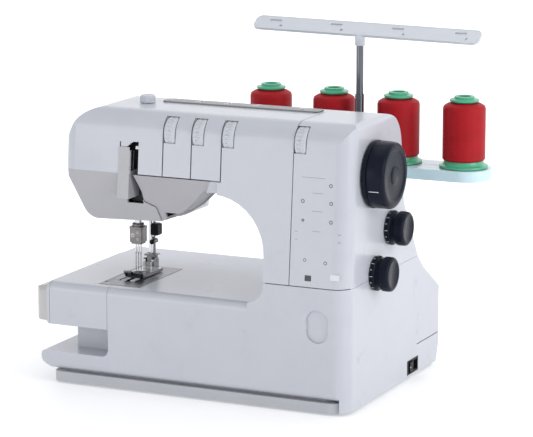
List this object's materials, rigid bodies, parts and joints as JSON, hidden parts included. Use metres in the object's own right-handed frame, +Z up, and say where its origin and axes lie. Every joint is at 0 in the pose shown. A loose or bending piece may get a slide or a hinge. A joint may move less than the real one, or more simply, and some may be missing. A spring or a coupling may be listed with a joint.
{
  "type": "cover-stitch sewing machine",
  "caption": "Free-arm cover-stitch sewing machine with a rear thread stand, cones of thread, a telescopic thread guide, side dials and a hand wheel.",
  "frame": {"origin": "middle of the whole object's footprint, on the surface that it stands on", "axes": "+X to the operator's right (the hand wheel side), +Y to the back, +Z up"},
  "size_m": [0.4373, 0.2644, 0.3812],
  "materials": {
    "case_white": "moulded, semi-gloss, slightly bluish white",
    "head_grey": "moulded, semi-gloss light grey",
    "base_grey": "moulded satin",
    "cap_cream": "moulded satin, warm white",
    "foot_rubber": "matte",
    "belt_rubber": "matte, toothed",
    "frame_aluminium": "as cast",
    "bush_brass": "turned",
    "machine_steel": "ground",
    "plate_steel": "satin",
    "needle_chrome": "polished",
    "motor_paint": "satin",
    "knob_navy": "moulded, glossy dark navy",
    "dial_white": "moulded, slightly translucent white",
    "black_plastic": "moulded",
    "lamp_glass": "clear",
    "pin_white": "moulded",
    "cone_green": "moulded mint green",
    "thread_red": "cross-wound satin thread",
    "pole_chrome": "polished, dark",
    "guide_clear": "translucent white"
  },
  "bodies": {
    "machine_body": {"base_plate": "base_grey", "rubber_feet": "foot_rubber", "lower_casing": "case_white", "rear_motor_cover": "case_white", "arm_end_cap": "cap_cream", "head_casing": "case_white", "column_panel": "case_white", "upper_rear_cover": "case_white", "needle_head_cover": "head_grey", "top_thread_plate": "plate_steel", "tension_discs": "needle_chrome", "arm_frame": "frame_aluminium", "shaft_bushes": "bush_brass", "timing_belt": "belt_rubber", "motor": "motor_paint", "motor_belt": "belt_rubber", "needle_plate": "plate_steel", "power_inlet": "black_plastic", "sewing_lamp": "lamp_glass", "spool_shelf": "case_white", "spool_pins": "pin_white", "pole_tube": "pole_chrome", "presser_spring": "machine_steel"},
    "looper_cover": {"looper_cover": "case_white"},
    "main_shaft": {"main_shaft": "machine_steel", "hand_wheel": "knob_navy", "upper_pulley": "machine_steel", "needle_crank": "machine_steel"},
    "lower_shaft": {"lower_shaft": "machine_steel", "lower_pulley": "machine_steel"},
    "motor_rotor": {"motor_pulley": "machine_steel"},
    "needle_bar": {"needle_bar": "machine_steel", "needle_clamp": "machine_steel", "needles": "needle_chrome"},
    "take_up_lever": {"take_up_lever": "machine_steel"},
    "presser_bar": {"presser_bar": "machine_steel", "foot_holder": "machine_steel"},
    "presser_foot": {"presser_foot": "plate_steel"},
    "presser_lifter": {"presser_lifter": "black_plastic"},
    "main_feed_dog": {"main_feed_dog": "machine_steel"},
    "differential_feed_dog": {"differential_feed_dog": "machine_steel"},
    "looper": {"looper": "machine_steel"},
    "stitch_length_dial": {"stitch_length_dial": "knob_navy"},
    "differential_feed_dial": {"differential_feed_dial": "knob_navy"},
    "pressure_dial": {"pressure_dial": "dial_white"},
    "power_switch": {"power_switch": "black_plastic"},
    "pole_rod": {"pole_rod": "pole_chrome"},
    "thread_guide_bar": {"thread_guide_bar": "guide_clear"},
    "tension_dial_left": {"tension_dial_left": "dial_white"},
    "tension_dial_middle": {"tension_dial_middle": "dial_white"},
    "tension_dial_right": {"tension_dial_right": "dial_white"},
    "tension_dial_looper": {"tension_dial_looper": "dial_white"},
    "cone_1": {"cone_core_1": "cone_green", "cone_thread_1": "thread_red"},
    "cone_2": {"cone_core_2": "cone_green", "cone_thread_2": "thread_red"},
    "cone_3": {"cone_core_3": "cone_green", "cone_thread_3": "thread_red"},
    "cone_4": {"cone_core_4": "cone_green", "cone_thread_4": "thread_red"}
  },
  "joints": [
    {"name": "hand_wheel_turn", "type": "hinge", "parent": "machine_body", "child": "main_shaft", "pos_m": [0.1483, -0.06625, 0.244], "axis": [1, 0, 0], "continuous": true},
    {"name": "lower_shaft_turn", "type": "hinge", "parent": "machine_body", "child": "lower_shaft", "pos_m": [0.0883, -0.06625, 0.08], "axis": [1, 0, 0], "continuous": true},
    {"name": "motor_turn", "type": "hinge", "parent": "machine_body", "child": "motor_rotor", "pos_m": [0.0883, 0.07275, 0.062], "axis": [1, 0, 0], "continuous": true},
    {"name": "needle_bar_stroke", "type": "slide", "parent": "machine_body", "child": "needle_bar", "axis": [0, 0, 1], "range_m": [-0.022, 0]},
    {"name": "take_up_swing", "type": "hinge", "parent": "machine_body", "child": "take_up_lever", "pos_m": [-0.0972, -0.08425, 0.252], "axis": [1, 0, 0], "range_deg": [0, 35]},
    {"name": "looper_swing", "type": "hinge", "parent": "machine_body", "child": "looper", "pos_m": [-0.1137, -0.04225, 0.084], "axis": [0, 1, 0], "range_deg": [0, 12]},
    {"name": "main_feed_stroke", "type": "slide", "parent": "machine_body", "child": "main_feed_dog", "axis": [0, 1, 0], "range_m": [-0.002, 0.002]},
    {"name": "differential_feed_stroke", "type": "slide", "parent": "machine_body", "child": "differential_feed_dog", "axis": [0, 1, 0], "range_m": [-0.002, 0.002]},
    {"name": "presser_lifter_turn", "type": "hinge", "parent": "machine_body", "child": "presser_lifter", "pos_m": [-0.1137, 0.01975, 0.206], "axis": [0, 1, 0], "range_deg": [-60, 0]},
    {"name": "presser_bar_lift", "type": "slide", "parent": "machine_body", "child": "presser_bar", "axis": [0, 0, 1], "range_m": [0, 0.006]},
    {"name": "presser_foot_tilt", "type": "hinge", "parent": "presser_bar", "child": "presser_foot", "pos_m": [-0.1227, -0.04125, 0.1235], "axis": [1, 0, 0], "range_deg": [-4, 0]},
    {"name": "looper_cover_open", "type": "hinge", "parent": "machine_body", "child": "looper_cover", "pos_m": [-0.1617, -0.12875, 0.0675], "axis": [1, 0, 0], "range_deg": [0, 95]},
    {"name": "pressure_dial_turn", "type": "hinge", "parent": "machine_body", "child": "pressure_dial", "pos_m": [-0.1147, -0.06025, 0.3], "axis": [0, 0, 1], "range_deg": [-180, 180]},
    {"name": "stitch_length_turn", "type": "hinge", "parent": "machine_body", "child": "stitch_length_dial", "pos_m": [0.1483, -0.01825, 0.179], "axis": [1, 0, 0], "range_deg": [-135, 135]},
    {"name": "differential_feed_turn", "type": "hinge", "parent": "machine_body", "child": "differential_feed_dial", "pos_m": [0.1483, -0.05825, 0.138], "axis": [1, 0, 0], "range_deg": [-100, 100]},
    {"name": "power_switch_rock", "type": "hinge", "parent": "machine_body", "child": "power_switch", "pos_m": [0.1463, 0.04325, 0.0135], "axis": [0, 0, 1], "range_deg": [-8, 8]},
    {"name": "pole_telescope", "type": "slide", "parent": "machine_body", "child": "pole_rod", "axis": [0, 0, 1], "range_m": [-0.05, 0]},
    {"name": "guide_bar_turn", "type": "hinge", "parent": "pole_rod", "child": "thread_guide_bar", "pos_m": [0.07365, 0.07375, 0.368], "axis": [0, 0, 1], "range_deg": [-90, 90]},
    {"name": "tension_left_turn", "type": "hinge", "parent": "machine_body", "child": "tension_dial_left", "pos_m": [-0.0582, -0.10555, 0.2785], "axis": [1, 0, 0], "range_deg": [-150, 150]},
    {"name": "tension_middle_turn", "type": "hinge", "parent": "machine_body", "child": "tension_dial_middle", "pos_m": [-0.0252, -0.10555, 0.2785], "axis": [1, 0, 0], "range_deg": [-150, 150]},
    {"name": "tension_right_turn", "type": "hinge", "parent": "machine_body", "child": "tension_dial_right", "pos_m": [0.0093, -0.10555, 0.2785], "axis": [1, 0, 0], "range_deg": [-150, 150]},
    {"name": "tension_looper_turn", "type": "hinge", "parent": "machine_body", "child": "tension_dial_looper", "pos_m": [0.0908, -0.10555, 0.2785], "axis": [1, 0, 0], "range_deg": [-150, 150]},
    {"name": "cone_1_turn", "type": "hinge", "parent": "machine_body", "child": "cone_1", "pos_m": [-0.0405, 0.09225, 0.26], "axis": [0, 0, 1], "continuous": true},
    {"name": "cone_2_turn", "type": "hinge", "parent": "machine_body", "child": "cone_2", "pos_m": [0.0356, 0.09225, 0.26], "axis": [0, 0, 1], "continuous": true},
    {"name": "cone_3_turn", "type": "hinge", "parent": "machine_body", "child": "cone_3", "pos_m": [0.1117, 0.09225, 0.26], "axis": [0, 0, 1], "continuous": true},
    {"name": "cone_4_turn", "type": "hinge", "parent": "machine_body", "child": "cone_4", "pos_m": [0.1878, 0.09225, 0.26], "axis": [0, 0, 1], "continuous": true}
  ],
  "couplings": [
    {"joint": "lower_shaft_turn", "follows": "hand_wheel_turn", "ratio": 1},
    {"joint": "motor_turn", "follows": "hand_wheel_turn", "ratio": 3},
    {"joint": "take_up_swing", "follows": "needle_bar_stroke", "rad_per_m": -27.7},
    {"joint": "looper_swing", "follows": "needle_bar_stroke", "rad_per_m": -9},
    {"joint": "differential_feed_stroke", "follows": "main_feed_stroke", "ratio": 1},
    {"joint": "presser_lifter_turn", "follows": "presser_bar_lift", "rad_per_m": -174.53}
  ]
}
